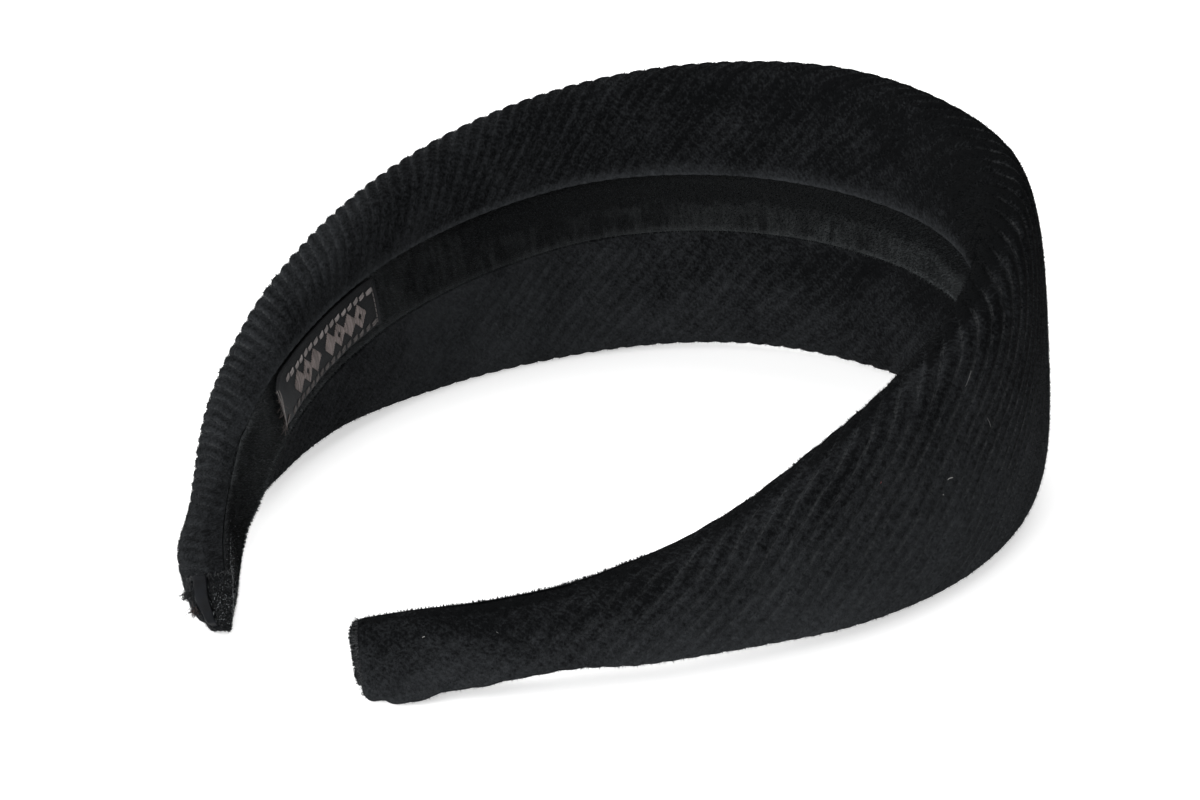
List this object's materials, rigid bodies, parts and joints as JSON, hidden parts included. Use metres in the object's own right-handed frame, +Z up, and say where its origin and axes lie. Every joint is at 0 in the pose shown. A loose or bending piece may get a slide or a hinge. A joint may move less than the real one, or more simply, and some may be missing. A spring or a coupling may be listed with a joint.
{
  "type": "padded headband",
  "caption": "Wide padded arch covered in ribbed cloth that grips the head, with a ribbon lining and a small woven label inside.",
  "frame": {"origin": "on the floor, under the middle of the box round the headband as it lies on its side at rest", "axes": "+Y from the tips towards the crown, +X towards the half without the label, +Z up from the floor"},
  "size_m": [0.1254, 0.153, 0.0562],
  "materials": {
    "ribbed_cloth": "ribbed cotton pile, near black",
    "pile_ribbon": "short pile, near black",
    "woven_tape": "woven tape, near black with pale stitches",
    "stiff_plastic": "smooth, dark blue-grey"
  },
  "bodies": {
    "root": {"padded_band": "ribbed_cloth", "lining_ribbon": "pile_ribbon", "woven_label": "woven_tape", "stiffener_end": "stiff_plastic"}
  },
  "joints": []
}
